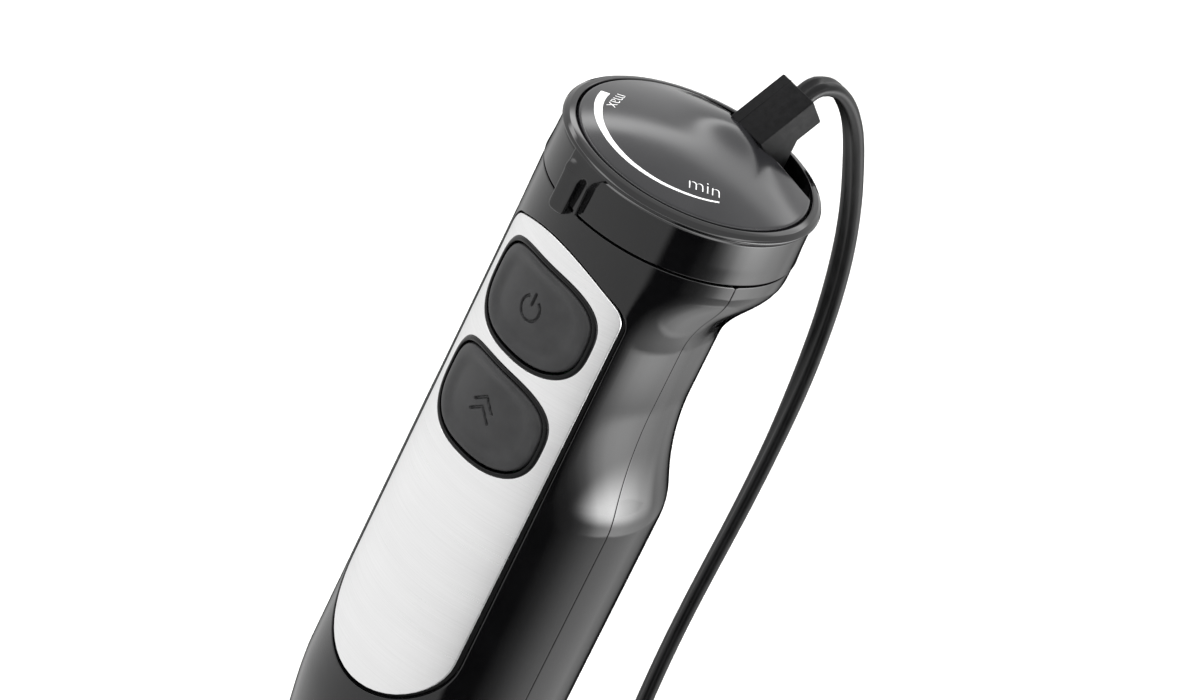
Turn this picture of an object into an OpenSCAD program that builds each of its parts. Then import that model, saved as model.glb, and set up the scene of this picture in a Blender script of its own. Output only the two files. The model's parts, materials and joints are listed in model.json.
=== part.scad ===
// Immersion blender: motor unit on a pull-off stainless foot, flat mains cord in a coil behind it.
// It stands on its bell guard: +Z up the shaft, buttons at -Y, cord at +Y.

/* [Motor unit] */
// Height of the speed ring's widest line above the standing surface
rim_z = 390; // [390:1:400]
// Radius of the grip body at the front
body_r = 33.3; // [33:0.1:34]
// Depth of the finger waist behind the grip
waist_depth = 7.2; // [4:0.1:7.5]
// How far the flanks and back lie inside the front radius below the waist
side_relief = 1.6; // [1:0.1:2]
// Wall of the two housing shells
wall = 2.4; // [2:0.1:2.6]
// Depth of the seam between speed ring and shells below the ring's widest line
seam_h = 13.3; // [13:0.1:14]

/* [Speed ring] */
// Radius of the ring's rim
rim_r = 34; // [33.8:0.1:34.2]
// Inner radius of the ring, which turns on the top collar
ring_bore_r = 30.9; // [30.8:0.1:31]
// Where the pointer stands at rest, in degrees from the front towards +X
pointer_a = -4; // [-40:1:40]

/* [Buttons and panel] */
// Half width of the steel panel
panel_w = 21.8; // [21:0.1:22]
// Depth of the top of the panel's arch
panel_top_h = 21; // [20:0.5:22]
// Depth of the panel's lower tip
panel_tip_h = 157; // [150:1:160]
// Depth of the centre of the on button
on_h = 42; // [41:0.5:43]
// Depth of the centre of the turbo button
turbo_h = 72.4; // [72:0.2:74]
// Half width of a button's gasket
gasket_w = 18.6; // [18:0.1:19]
// Half height of a button's gasket
gasket_h = 13.8; // [13:0.1:14]

/* [Motor] */
// Outer radius of the motor can
can_r = 22; // [20:0.5:22]
// Height of the underside of the motor can
can_z = 216; // [214:1:218]
// Length of the motor can
can_l = 62; // [55:1:64]
// Radius of the rotor shaft
shaft_r = 2.5; // [2:0.1:2.5]

/* [Foot] */
// Radius of the bell guard at its edge
bell_r = 32; // [30:0.5:34]
// Radius of the foot tube at its top
tube_r = 20; // [19:0.5:21]
// Height of the joint between foot and motor unit
joint_z = 186; // [186:1:187]
// Height of the blade's centre
blade_z = 15; // [14:0.5:17]
// Length of one blade wing from the shaft's axis
blade_l = 23; // [20:0.5:24]

/* [Cord] */
// Width of the flat mains cord
cord_w = 6; // [5.5:0.1:6.2]
// Thickness of the flat mains cord
cord_t = 3.7; // [3.4:0.1:4]
// Radius of the coil at the middle of its turns
coil_r = 33; // [30:1:36]
// Turns in the coil
coil_turns = 4; // [3:1:4]

/* [Hidden] */

$fn = 72;
unit_h = rim_z - joint_z - 1;   // depth of the shells' lower end
fit = 0.05;              // running clearance
gap = 0.3;               // clearance between bodies elsewhere
part_a = 77;             // half angle of the front shell
panel_t = 0.8;           // steel panel
panel_round = 20;        // height of the panel's rounded lower end
bezel_w = 1;             // trim round the panel
recess_r = body_r - panel_t - 0.1;
gasket_t = 1;            // width of a gasket
button_gap = 0.4;        // groove round a button
post_x = 25.8;           // screw posts of the shells
post_h = [105, 158];
release_z = 203;         // release buttons
spigot_r = 16;           // foot spigot in its socket
spigot_top = 208;
step_h = 9.7;            // step of the collar that the speed track lies on
track_in = 26.6;
dome_r = 30.5;
dome_rise = 5.5;
dome_edge = 2.3;
coil_y = 116;            // centre of the coil on the surface
coil_in = coil_r - coil_turns * cord_t / 2;
coil_out = coil_r + coil_turns * cord_t / 2;

// The cord's hand-laid route from the boot to the coil: x, y, z and the turn of its width about its run
route = [[0, 29, 407, 0], [0, 31, 409, 0], [0, 34, 410, 0], [0, 38, 410, 0], [0, 42, 408, 0],
    [0, 47, 404, -2], [0, 52, 399, -5], [0, 57, 392, -8], [0, 61, 384, -10], [0, 66, 376, -14],
    [0, 70, 367, -18], [0, 74, 358, -20], [0, 77, 348, -20], [0, 80, 338, -16], [0, 82, 327, -8],
    [0, 84, 315, 2], [0, 85, 303, 14], [0, 86, 290, 24], [0, 86, 276, 32], [0, 86, 262, 36],
    [0, 85, 247, 38], [0, 85, 232, 38], [1, 84, 216, 36], [3, 83, 200, 34], [5, 82, 184, 30],
    [8, 81, 168, 26], [11, 80, 152, 22], [14, 79, 136, 18], [18, 78, 120, 14], [21, 77, 104, 10],
    [24, 76, 89, 6], [27, 75, 75, 3], [30, 74, 61, 0], [32, 74, 48, -4], [34, 75, 36, -12],
    [36, 78, 26, -26], [37, 82, 17, -45], [38, 88, 10, -65], [39, 94, 6, -80], [39, 98, 5, -88]];
// The tail from the coil's inner turn over the turns to the plug
tail = [[0, 141, 6, 90], [-5, 143, 9, 80], [-10, 147, 10, 60], [-14, 152, 10, 35],
    [-17, 157, 8, 15], [-19, 162, 6, 5], [-20, 167, 6, 0]];
plug_at = [-20, 167, 6];

// ---------- shapes and helpers ----------

function smooth(t) = let (u = min(1, max(0, t))) u * u * (3 - 2 * u);
function ramp(a, b, v) = smooth((v - a) / (b - a));
// Inset of the flanks and back at depth h below the ring's widest line
function waist(h) = side_relief * ramp(17, 30, h)
    + waist_depth * ramp(17, 38, h) * (1 - ramp(56, 94, h));
function tail_taper(h) = 3.3 * ramp(166, unit_h, h);
function from_front(a) = a > 180 ? 360 - a : abs(a);
function body_radius(a, h) = body_r - waist(h) * ramp(46, 100, from_front(a)) - tail_taper(h);
function body_point(a, h, inset) = let (r = body_radius(a, h) - inset)
    [r * sin(a), -r * cos(a), rim_z - h];
function superellipse(w, h, n = 64, p = 2.9) = [for (i = [0:n - 1]) let (t = 360 * i / n)
    [w * sign(cos(t)) * pow(abs(cos(t)), 2 / p), h * sign(sin(t)) * pow(abs(sin(t)), 2 / p)]];
function arc(cx, cy, rx, ry, a0, a1, n) = [for (i = [0:n]) let (t = a0 + (a1 - a0) * i / n)
    [cx + rx * cos(t), cy + ry * sin(t)]];

// Outline of the steel panel, x across and y down from the ring's widest line, grown by g
function panel_outline(g = 0) = concat(
    arc(0, -panel_tip_h + panel_round, panel_w + g, panel_round + g, 180, 360, 24),
    arc(panel_w - 6, -panel_top_h - 12.5, 6 + g, 6 + g, 0, 55, 5),
    arc(0, -panel_top_h - 36, 40, 36 + g, 68, 112, 10),
    arc(-panel_w + 6, -panel_top_h - 12.5, 6 + g, 6 + g, 125, 180, 5));

// A closed wall between the body surface and its inset copy, from angle a0 to a1
module wall_sector(a0, a1, cols, rows, thick) {
    n = rows + 1;
    span = unit_h - seam_h;
    function at(i, j, inset) = body_point(a0 + (a1 - a0) * i / cols, seam_h + span * j / rows, inset);
    pts = concat([for (i = [0:cols]) for (j = [0:rows]) at(i, j, 0)],
        [for (i = [0:cols]) for (j = [0:rows]) at(i, j, thick)]);
    m = (cols + 1) * n;
    skin = [for (i = [0:cols - 1]) for (j = [0:rows - 1]) let (p = i * n + j)
        [[p, p + 1, p + n + 1], [p, p + n + 1, p + n]]];
    back = [for (q = skin) for (f = q) [f[0] + m, f[2] + m, f[1] + m]];
    sides = [for (j = [0:rows - 1]) let (e = cols * n) [[j, m + j + 1, j + 1], [j, m + j, m + j + 1],
        [e + j, e + j + 1, e + m + j + 1], [e + j, e + m + j + 1, e + m + j]]];
    ends = [for (i = [0:cols - 1]) let (p = i * n, q = i * n + rows) [[p, p + n, m + p + n],
        [p, m + p + n, m + p], [q, m + q + n, q + n], [q, m + q, m + q + n]]];
    polyhedron(pts, concat([for (q = skin) for (f = q) f], back,
        [for (s = sides) for (f = s) f], [for (s = ends) for (f = s) f]));
}

// Draws a 2D outline on the front of the body, x across and y above the ring's line, cutting along Y
module on_front() {
    translate([0, 0, rim_z]) rotate([90, 0, 0]) linear_extrude(60) children();
}
// A curved slab between two radii about the axis
module slab(r_in, r_out, h0, h1) {
    translate([0, 0, rim_z - h1]) difference() {
        cylinder(r = r_out, h = h1 - h0, $fn = 120);
        translate([0, 0, -1]) cylinder(r = r_in, h = h1 - h0 + 2, $fn = 120);
    }
}
module button_shape(h, grow = 0) {
    translate([0, -h]) polygon(superellipse(gasket_w + grow, gasket_h + grow));
}
// A tube between two radii
module pipe(r_in, r_out, z0, z1) {
    translate([0, 0, z0]) difference() {
        cylinder(r = r_out, h = z1 - z0);
        translate([0, 0, -1]) cylinder(r = r_in, h = z1 - z0 + 2);
    }
}
module rod(r, z0, z1) {
    translate([0, 0, z0]) cylinder(r = r, h = z1 - z0);
}
// A ring sector from angle a0 to a1 measured from the front towards +X
module sector(r_in, r_out, z0, z1, a0, a1) {
    translate([0, 0, z0]) rotate([0, 0, a0 - 90]) rotate_extrude(angle = a1 - a0)
        translate([r_in, 0]) square([r_out - r_in, z1 - z0]);
}

// ---------- housing ----------

// Cylinders along Y at the four places where the two shells are screwed together, from y0 to y1
module at_posts(y0, y1, r) for (s = [-1, 1], h = post_h) translate([s * post_x, y1, rim_z - h])
    rotate([90, 0, 0]) cylinder(r = r, h = y1 - y0);

module release_holes() for (s = [-1, 1]) translate([s * 30, 0, release_z]) rotate([0, 90, 0])
    cylinder(r = 5.9, h = 12, center = true, $fn = 60);

module front_shell() color("#151516") resize([0, 0, 0]) difference() {
    wall_sector(-part_a, part_a, 22, 38, wall);
    intersection() {
        slab(recess_r, body_r + 5, seam_h + 2, panel_tip_h + 10);
        on_front() polygon(panel_outline(bezel_w + 0.1));
    }
    on_front() button_shape(on_h, 0.2);
    on_front() button_shape(turbo_h, 0.2);
    release_holes();
}

module rear_shell() color("#151516") resize([0, 0, 0]) difference() {
    wall_sector(part_a + 0.15, 360 - part_a - 0.15, 30, 38, wall);
    release_holes();
}

// Posts moulded on the shells' inner walls: threaded in front of the parting line, clear behind it
module screw_posts() color("#1b1b1c") difference() {
    union() {
        at_posts(-13, -7.2, 3.3);
        at_posts(-7, 6, 3.3);
    }
    at_posts(-14, 0, 1.45);
    at_posts(-8, 3, 1.7);
    at_posts(2, 7, 2.8);
}

// Fixed sleeve that closes the shells at the top and carries the speed ring and the cord clamp
module top_collar() color("#1b1b1c") difference() {
    union() {
        difference() {
            pipe(24, body_r - wall - 0.2, rim_z - 22, rim_z - seam_h);
            sector(23, 40, rim_z - 30, rim_z - seam_h + 1, 60, 300);
            translate([-30, -40, rim_z - 30]) cube([60, 22, 13]);
        }
        pipe(24, ring_bore_r - fit, rim_z - seam_h, rim_z - step_h);
        pipe(24, track_in, rim_z - step_h, rim_z + 0.4);
        intersection() {
            translate([-30, 11, rim_z - seam_h]) cube([60, 10, 3]);
            rod(24.5, rim_z - 20, rim_z);
        }
    }
    translate([-7, 12, rim_z - 9]) cube([14, 17.6, 10]);
    for (x = [-10, 10]) translate([x, 16, rim_z - 20]) cylinder(r = 1.4, h = 15);
}

module top_dome() color("#29292b") difference() {
    translate([0, 0, rim_z]) union() {
        rotate_extrude($fn = 120) polygon(concat([[0, dome_edge + dome_rise - 2]],
            [[0, dome_edge + dome_rise]],
            [for (i = [1:12]) let (r = dome_r * i / 12)
                [r, dome_edge + dome_rise * (1 - pow(r / dome_r, 2))]],
            [[30.8, 1.4], [30.8, -7.7], [29.1, -7.7], [29.1, 0.4]]));
    }
    translate([0, 0, rim_z - 1]) linear_extrude(12) polygon([[-21, 22.8], [-9, 18.4], [-7, 15.8],
        [0, 14.8], [7, 15.8], [9, 18.4], [21, 22.8], [24, 40], [-24, 40]]);
}

module steel_panel() color("#dcdcda") difference() {
    intersection() {
        slab(body_r - panel_t, body_r, panel_top_h - 2, panel_tip_h + 2);
        on_front() polygon(panel_outline());
    }
    on_front() button_shape(on_h, 0.1);
    on_front() button_shape(turbo_h, 0.1);
}

module panel_bezel() color("#8f9092") intersection() {
    slab(body_r - panel_t, body_r + 0.1, panel_top_h - 4, panel_tip_h + 4);
    difference() {
        on_front() polygon(panel_outline(bezel_w));
        on_front() polygon(panel_outline(0.1));
    }
}

module gasket(h) {
    intersection() {
        slab(body_r - wall, body_r + 0.35, h - 20, h + 20);
        difference() {
            on_front() button_shape(h);
            on_front() button_shape(h, -gasket_t);
        }
    }
}
module on_gasket() color("#1c1c1d") gasket(on_h);
module turbo_gasket() color("#1c1c1d") gasket(turbo_h);

// ---------- buttons, switches and board ----------

module button(h) {
    intersection() {
        slab(body_r - 4, body_r + 0.3, h - 20, h + 20);
        on_front() button_shape(h, -gasket_t - button_gap);
    }
    intersection() {
        slab(body_r - wall - gap - 2, body_r - wall - gap, h - 20, h + 20);
        on_front() button_shape(h, 0.4);
    }
    translate([0, -body_r + 6, rim_z - h]) rotate([90, 0, 0]) cylinder(r = 3, h = 4);
    translate([0, -body_r + 12.3, rim_z - h]) rotate([90, 0, 0]) cylinder(r = 1.8, h = 8);
}
module on_button() color("#3c3c3d") button(on_h);
module turbo_button() color("#3c3c3d") button(turbo_h);

// Compression spring round a button's stem
module button_spring(h) {
    turns = 4; ring = 14; sides = 6; wire = 0.3; r = 4; length = 9;
    n = turns * ring;
    pts = [for (i = [0:n]) for (k = [0:sides - 1]) let (a = 360 * i / ring, b = 360 * k / sides,
        q = r + wire * cos(b)) [q * cos(a), q * sin(a), length * i / n + wire * sin(b)]];
    translate([0, -body_r + 5.4, rim_z - h]) rotate([-90, 0, 0]) polyhedron(pts, concat(
        [[for (k = [0:sides - 1]) k]], [[for (k = [sides - 1:-1:0]) n * sides + k]],
        [for (i = [0:n - 1]) for (k = [0:sides - 1]) let (p = i * sides + k,
            q = i * sides + (k + 1) % sides) [p, p + sides, q + sides, q]]));
}
module on_spring() color("#b9bcc0") button_spring(on_h);
module turbo_spring() color("#b9bcc0") button_spring(turbo_h);

module tact_switch(h) {
    difference() {
        translate([-6, -body_r + 15, rim_z - h - 6]) cube([12, 6.6, 12]);
        translate([0, -body_r + 18, rim_z - h]) rotate([90, 0, 0]) cylinder(r = 2.6, h = 4);
    }
    translate([0, -body_r + 18, rim_z - h]) rotate([90, 0, 0]) cylinder(r = 2.2, h = 3.2);
}
module on_switch() color("#232427") tact_switch(on_h);
module turbo_switch() color("#232427") tact_switch(turbo_h);

module control_board() color("#2f6b3c") difference() {
    translate([-16, -body_r + 21.8, rim_z - 94]) cube([32, 1.6, 68]);
    for (x = [-12, 12], h = [30, 90]) translate([x, 0, rim_z - h]) rotate([90, 0, 0])
        cylinder(r = 1.6, h = 40);
}

// Suppression capacitor, choke and switching transistor with its heat sink
module board_parts() color("#b7a24a") {
    translate([-11, -body_r + 23.6, rim_z - 52]) cube([16, 9, 14]);
    translate([-8, -body_r + 29, rim_z - 72]) cylinder(r = 5, h = 14);
    translate([2, -body_r + 23.6, rim_z - 90]) cube([10, 4, 16]);
    translate([-13, -body_r + 23.6, rim_z - 92]) cube([12, 12, 2.5]);
}

// ---------- speed ring ----------

module swept(a0, a1) translate([0, 0, rim_z]) rotate([0, 0, a0 - 90])
    rotate_extrude(angle = a1 - a0) children();
// The pointer's tab and the thin rib beside it
module pointer() {
    swept(-7, 1.4) polygon([[32.5, -12.6], [body_r + 0.7, -12.6], [body_r + 0.7, -15.6],
        [36.4, -15.6], [36.4, -4], [35.2, -1], [34.4, 0.4], [32.5, 0.4]]);
    swept(4.6, 6.2) polygon([[32.5, -12.6], [35.2, -12.6], [35.2, -2.5], [34.4, -0.5],
        [32.5, -0.5]]);
}
module speed_ring() color("#1d1d1e") {
    translate([0, 0, rim_z]) rotate_extrude($fn = 144) polygon(concat(
        [[ring_bore_r, -12.9], [33.55, -12.9], [33.2, -3], [33.4, -2.4]],
        arc(rim_r - 2.2, 0.2, 2.2, 2.2, -50, 90, 10),
        [[31.2, 2.3], [ring_bore_r, 1.9], [ring_bore_r, -7.9], [29.6, -7.9], [29.6, -9.4],
            [ring_bore_r, -9.4]]));
    rotate([0, 0, pointer_a]) pointer();
}
// Sprung contact carried by the ring over the resistance track
module speed_wiper() color("#c9a24c")
    sector(track_in + 0.5, 29.6, rim_z - 9.35, rim_z - 8.7, 205, 230);
module speed_track() color("#3b2a20")
    sector(track_in, 29.3, rim_z - step_h, rim_z - 9.5, 145, 300);

// ---------- cord entry ----------

// Strain relief: a leaning block on an upright neck with a flange inside the collar
module cord_boot() color("#1e1e1f") {
    translate([-6, 0, rim_z]) rotate([90, 0, 90]) linear_extrude(12) polygon([[14, 8],
        [26, 20], [32.5, 13.5], [27.2, 8.2], [27.2, -6], [19, -6], [19, 3]]);
    translate([-6.8, 15, rim_z - 8]) cube([13.6, 12.8, 2]);
}
module cord_clamp() color("#2b2b2c") difference() {
    translate([-13, 12, rim_z - seam_h - 4]) cube([26, 8, 4]);
    for (x = [-10, 10]) translate([x, 16, rim_z - 25]) cylinder(r = 1.6, h = 15);
}
module clamp_screws() color("#c9ccd0") for (x = [-10, 10])
    translate([x, 16, rim_z - seam_h - 4]) {
        translate([0, 0, -1.8]) cylinder(r = 2.8, h = 1.8);
        cylinder(r = 1.4, h = 6.4);
    }

// ---------- motor ----------

module motor_can() color("#9ea2a6") difference() {
    rod(can_r, can_z, can_z + can_l);
    rod(can_r - 1.5, can_z + 1.5, can_z + can_l + 1);
    rod(7, can_z - 1, can_z + 3);
    for (a = [0:60:300]) rotate([0, 0, a]) translate([14, 0, can_z - 1]) cylinder(r = 2.5, h = 4);
}
module can_end_cap() color("#d8d4c8") difference() {
    rod(can_r, can_z + can_l, can_z + can_l + 3);
    rod(6, can_z + can_l - 1, can_z + can_l + 4);
    for (a = [45:90:315]) rotate([0, 0, a]) translate([15, 0, can_z + can_l - 1])
        cylinder(r = 3, h = 5);
}
module magnets() color("#3a3b3d") for (a = [0, 180])
    sector(17, can_r - 1.5, can_z + 8, can_z + 46, a + 30, a + 150);
module brush_holders() color("#c2a35a") for (a = [0, 180]) rotate([0, 0, a]) difference() {
    translate([8.6, -4, can_z + can_l - 9]) cube([10.5, 8, 9]);
    translate([7.6, -2.6, can_z + can_l - 7.4]) cube([9.5, 5.2, 6]);
}
module carbon_brushes() color("#2a2a2b") for (a = [0, 180]) rotate([0, 0, a])
    translate([6.8, -2.5, can_z + can_l - 7.3]) cube([9, 5, 5.8]);
module upper_bush() color("#b98b4a")
    pipe(shaft_r + fit, 6, can_z + can_l, can_z + can_l + 6);
module lower_bearing() color("#c4c8cc") pipe(shaft_r + fit, 7, can_z - 2, can_z + 3);
module upper_mount() color("#232324") pipe(can_r, 28.6, can_z + can_l - 8, can_z + can_l);
module lower_mount() color("#232324") pipe(can_r, 28.6, can_z, can_z + 8);

module rotor_shaft() color("#c9ccd0") rod(shaft_r, 209.5, can_z + can_l + 19);
module rotor_core() color("#74777b") difference() {
    rod(16.4, can_z + 9, can_z + 45);
    rod(shaft_r, can_z + 8, can_z + 46);
    for (a = [0:30:330]) rotate([0, 0, a]) translate([16.4, 0, can_z + 8]) cylinder(r = 1.6, h = 38);
}
module rotor_windings() color("#b5683a") {
    pipe(shaft_r, 14, can_z + 4, can_z + 9);
    pipe(shaft_r, 14, can_z + 45, can_z + 50);
}
module commutator() color("#c98a55") difference() {
    pipe(shaft_r, 6.6, can_z + 51, can_z + 61);
    for (a = [15:30:345]) rotate([0, 0, a]) translate([5.8, -0.2, can_z + 50]) cube([2, 0.4, 12]);
}
module cooling_fan() color("#3c4a5a") {
    pipe(shaft_r, 5, can_z + can_l + 8, can_z + can_l + 16);
    pipe(shaft_r, 20, can_z + can_l + 8, can_z + can_l + 9.4);
    for (a = [0:40:320]) rotate([0, 0, a]) translate([4.6, -0.6, can_z + can_l + 9])
        cube([15, 1.2, 6.4]);
}
// Six-sided socket that drops over the foot's drive key
module drive_socket() color("#8d9094") difference() {
    rod(6.5, 196.6, 213);
    rod(4.25, 195, 209.5);
    translate([0, 0, 195]) cylinder(r = 4.65, h = 13, $fn = 6);
    rod(shaft_r, 209, 214);
}

// ---------- joint between motor unit and foot ----------

module foot_socket() color("#1b1b1c") difference() {
    union() {
        rod(25.6, 187.2, 212);
        pipe(20, 24, 211, can_z);
    }
    rod(spigot_r + fit, 186, 209.4);
    rod(8, 208, can_z + 1);
    rod(20, 212, can_z + 1);
    for (s = [-1, 1]) translate([s * 20.5, 0, release_z]) rotate([0, 90, 0])
        cylinder(r = 5.9, h = 14, center = true);
    for (s = [-1, 1]) translate([s * 15.3 - 1.1, -15, 201.9]) cube([2.2, 34.4, 2.2]);
    translate([-16.4, 17.2, 201.9]) cube([32.8, 2.2, 2.2]);
}
// Wire clip whose two legs drop into the spigot's groove
module retaining_clip() color("#c9ccd0") {
    for (s = [-1, 1]) translate([s * 15.3, 18.3, 203]) rotate([90, 0, 0]) cylinder(r = 0.8, h = 32);
    translate([-15.3, 18.3, 203]) rotate([0, 90, 0]) cylinder(r = 0.8, h = 30.6);
    for (s = [-1, 1]) translate([s * 15.3, 18.3, 203]) sphere(r = 0.8, $fn = 24);
}
module release(s) {
    translate([s * 23.2, 0, release_z]) rotate([0, s * 90, 0]) cylinder(r = 5.7, h = 8);
    translate([s * 18.4, 0, release_z]) rotate([0, s * 90, 0]) cylinder(r = 2, h = 5);
}
module release_left() color("#3c3c3d") release(-1);
module release_right() color("#3c3c3d") release(1);

module shell_screws() color("#c9ccd0") {
    at_posts(-11.5, 2, 1.4);
    at_posts(2, 4, 2.6);
}

// ---------- foot ----------

module foot_collar() color("#1b1b1c") difference() {
    union() {
        translate([0, 0, 0]) rotate_extrude() polygon([[0, 158], [tube_r + 0.6, 158],
            [tube_r + 1.4, 164], [24.6, 174], [28.4, 182], [29.6, joint_z + 0.6],
            [0, joint_z + 0.6]]);
        rod(spigot_r, joint_z - 1, spigot_top);
    }
    rod(7.6, 150, spigot_top + 1);
    translate([0, 0, 150]) difference() {
        cylinder(r = tube_r + 0.05, h = 20);
        translate([0, 0, -1]) cylinder(r = tube_r - 1.4, h = 22);
    }
    translate([0, 0, 201.6]) rotate_extrude() translate([14.3, 0]) square([3, 2.8]);
}
module foot_tube() color("#d6d7d8") rotate_extrude() polygon([[tube_r - 1.2, 170], [tube_r, 170],
    [tube_r, 150], [tube_r - 1.6, 60], [tube_r - 1.6, 46], [tube_r - 2.8, 46], [tube_r - 2.8, 60],
    [tube_r - 1.2, 150]]);

// Bell with four arches in its edge
module bell_guard() color("#d6d7d8") difference() {
    rotate_extrude($fn = 96) polygon(concat([[bell_r - 1.4, 0], [bell_r, 0], [bell_r, 12]],
        [for (i = [0:10]) let (t = i / 10)
            [bell_r - (bell_r - tube_r + 1.6) * smooth(t), 12 + 34 * t]],
        [for (i = [10:-1:0]) let (t = i / 10)
            [bell_r - 1.5 - (bell_r - tube_r + 1.6) * smooth(t), 11.4 + 33 * t]]));
    for (a = [45, 135]) rotate([0, 0, a]) translate([-50, 0, 0]) rotate([90, 0, 90])
        linear_extrude(100) polygon(concat([[9, -1]], arc(0, 0, 9, 7, 0, 180, 12), [[-9, -1]]));
}
module bearing_carrier() color("#1f1f20") difference() {
    union() {
        rod(7.5, 26, 196);
        rod(11, 30, 42);
        for (a = [0:60:300]) rotate([0, 0, a]) translate([0, -1, 32]) cube([17, 2, 8]);
        for (z = [66, 110, 150]) rod(17, z, z + 3);
    }
    rod(3.6, 20, 200);
    rod(5.5 + 0.02, 20, 36);
    rod(5.5 + 0.02, 188, 200);
}
module foot_upper_bush() color("#b98b4a") pipe(3 + fit, 5.5, 188, 196);
module foot_lower_bearing() color("#c4c8cc") pipe(3 + fit, 5.5, 31, 36);
module shaft_seal() color("#4a4a4c") pipe(3 + fit, 5.5, 26, 31);

module blade_shaft() color("#c9ccd0") rod(3, blade_z - 4, 199);
module drive_key() color("#8d9094") difference() {
    translate([0, 0, 196.4]) cylinder(r = 4.45, h = 10.6, $fn = 6);
    rod(3, 195, 199);
}
module blade() color("#d6d8da") difference() {
    union() {
        rod(8, blade_z - 0.9, blade_z + 0.9);
        for (s = [0, 180]) rotate([0, 0, s]) {
            translate([3, -5, blade_z - 0.8]) cube([12, 10, 1.6]);
            translate([14, 0, blade_z]) rotate([18, s == 0 ? -22 : 22, 0])
                translate([0, -5, -0.8]) cube([blade_l - 15, 9, 1.6]);
        }
    }
    rod(3, blade_z - 5, blade_z + 5);
}
module blade_hub() color("#2a2a2b") {
    pipe(3, 6, blade_z + 0.9, blade_z + 9);
    pipe(3, 5, blade_z - 3.4, blade_z - 0.9);
}

// ---------- cord ----------

function unit(v) = v / norm(v);
// Octagonal flat section at each point of a route, its width turned by the fourth value
module flat_cord(path) {
    n = len(path);
    sides = 8;
    function p(i) = [path[i][0], path[i][1], path[i][2]];
    function run(i) = unit(p(min(i + 1, n - 1)) - p(max(i - 1, 0)));
    function ring(i) = let (t = run(i), x = unit([1, 0, 0] - t * t[0]), y = cross(t, x),
        a = path[i][3]) [for (k = [0:sides - 1]) let (b = 360 * k / sides + 22.5,
            u = cord_w / 2 * cos(b) / cos(22.5), v = cord_t / 2 * sin(b) / cos(22.5),
            uu = u * cos(a) - v * sin(a), vv = u * sin(a) + v * cos(a)) p(i) + x * uu + y * vv];
    pts = [for (i = [0:n - 1]) each ring(i)];
    polyhedron(pts, concat([[for (k = [0:sides - 1]) k]], [[for (k = [sides - 1:-1:0]) (n - 1) * sides + k]],
        [for (i = [0:n - 2]) for (k = [0:sides - 1]) let (a = i * sides + k,
            b = i * sides + (k + 1) % sides) each [[a, a + sides, b + sides], [a, b + sides, b]]]));
}
module cord() color("#1d1d1e") flat_cord(route);
module cord_tail() color("#1d1d1e") flat_cord(tail);
module cord_coil() color("#1d1d1e") translate([0, coil_y, 0]) pipe(coil_in, coil_out, 0, cord_w);
module coil_tie() color("#2e2e30") translate([0, coil_y, 0]) rotate([0, 0, 200]) difference() {
    translate([coil_in - 1.6, -4, 0]) cube([coil_out - coil_in + 2.8, 8, cord_w + 1]);
    translate([coil_in - 0.5, -5, -1]) cube([coil_out - coil_in + 0.7, 10, cord_w + 1.1]);
}
// Round two-pin contour plug lying on its side
module plug() color("#1b1b1c") translate(plug_at) rotate([-90, 0, 0]) {
    cylinder(r1 = 4, r2 = 5.5, h = 14);
    translate([0, 0, 14]) hull() {
        translate([-11, 0, 0]) cylinder(r = 5.5, h = 16, $fn = 32);
        translate([11, 0, 0]) cylinder(r = 5.5, h = 16, $fn = 32);
    }
}
module plug_pins() color("#d9c27a") for (s = [-1, 1]) translate(plug_at + [s * 9.5, 30, 0])
    rotate([-90, 0, 0]) cylinder(r = 2.4, h = 19);

front_shell();
rear_shell();
top_collar();
top_dome();
steel_panel();
panel_bezel();
on_gasket();
turbo_gasket();
cord_boot();
cord_clamp();
clamp_screws();
control_board();
board_parts();
speed_track();
on_switch();
turbo_switch();
motor_can();
can_end_cap();
magnets();
brush_holders();
carbon_brushes();
upper_bush();
lower_bearing();
upper_mount();
lower_mount();
screw_posts();
shell_screws();
foot_socket();
retaining_clip();
speed_ring();
speed_wiper();
on_button();
on_spring();
turbo_button();
turbo_spring();
release_left();
release_right();
rotor_shaft();
rotor_core();
rotor_windings();
commutator();
cooling_fan();
drive_socket();
foot_collar();
foot_tube();
bell_guard();
bearing_carrier();
foot_upper_bush();
foot_lower_bearing();
shaft_seal();
blade_shaft();
drive_key();
blade();
blade_hub();
cord();
cord_coil();
cord_tail();
coil_tie();
plug();
plug_pins();
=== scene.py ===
# Corded immersion blender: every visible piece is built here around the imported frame
import json
import math

import bmesh
import bpy
import numpy as np
from mathutils import Matrix, Vector
from mathutils.geometry import delaunay_2d_cdt


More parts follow.
